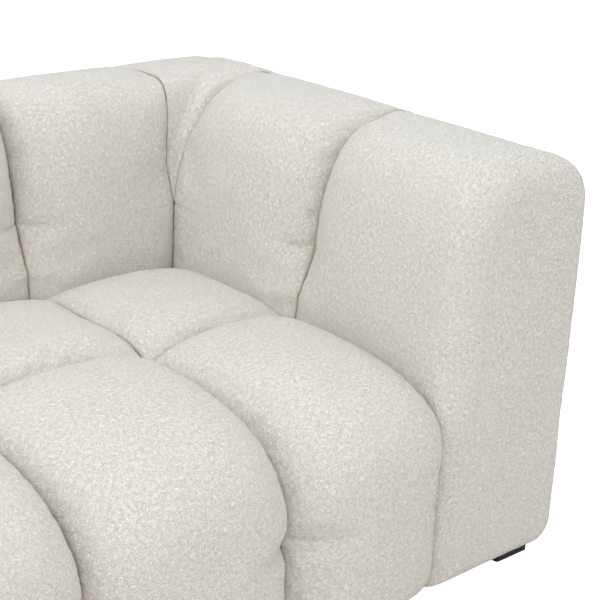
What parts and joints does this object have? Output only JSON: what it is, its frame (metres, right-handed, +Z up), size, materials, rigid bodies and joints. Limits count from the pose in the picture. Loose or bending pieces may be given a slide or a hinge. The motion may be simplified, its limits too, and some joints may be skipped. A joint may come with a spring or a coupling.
{
  "type": "tuxedo sofa",
  "caption": "Low tuxedo sofa with arms and back of one height, a grid of stuffed seat blocks, stuffed channels on the arms and back, and black block feet.",
  "frame": {"origin": "on the floor, under the middle of the whole sofa's box", "axes": "+X to the right as seen from the front, +Y to the back, +Z up"},
  "size_m": [2.327, 1.005, 0.7427],
  "materials": {
    "boucle": "cream boucle with fine loops",
    "timber": "sawn pine",
    "plywood": "plain plywood",
    "hardboard": "smooth brown hardboard",
    "steel": "bare steel",
    "foam": "open cell foam",
    "felt": "grey needled felt",
    "webbing": "woven elastic webbing",
    "dust_cloth": "thin bonded cloth",
    "twine": "waxed twine",
    "foot": "satin black"
  },
  "bodies": {
    "root": {"seat_front_1": "boucle", "seat_front_2": "boucle", "seat_front_3": "boucle", "seat_front_4": "boucle", "seat_front_5": "boucle", "seat_rear_1": "boucle", "seat_rear_2": "boucle", "seat_rear_3": "boucle", "seat_rear_4": "boucle", "seat_rear_5": "boucle", "back_channel_1": "boucle", "back_channel_2": "boucle", "back_channel_3": "boucle", "back_channel_4": "boucle", "back_channel_5": "boucle", "corner_left": "boucle", "corner_right": "boucle", "arm_rear_left": "boucle", "arm_rear_right": "boucle", "arm_front_left": "boucle", "arm_front_right": "boucle", "outer_side_left": "boucle", "outer_side_right": "boucle", "outer_back": "boucle", "dust_cover": "dust_cloth", "side_boards": "hardboard", "back_board": "hardboard", "arm_skins": "plywood", "arm_top_boards": "plywood", "back_top_board": "plywood", "front_rail": "timber", "rear_spring_rail": "timber", "arm_front_posts": "plywood", "arm_inner_posts": "plywood", "back_posts": "plywood", "arm_low_rails": "timber", "rear_low_rail": "timber", "seat_stretchers": "timber", "back_front_rail": "timber", "back_tack_rail": "timber", "foot_blocks": "timber", "seat_springs": "steel", "spring_clips": "steel", "back_webbing": "webbing", "spring_insulator": "felt", "seat_foam": "foam", "back_foam": "foam", "arm_foams": "foam", "feet": "foot", "foot_bolts": "steel", "t_nuts": "steel", "block_screws": "steel", "tuft_ties": "twine", "tie_washers": "steel"}
  },
  "joints": []
}
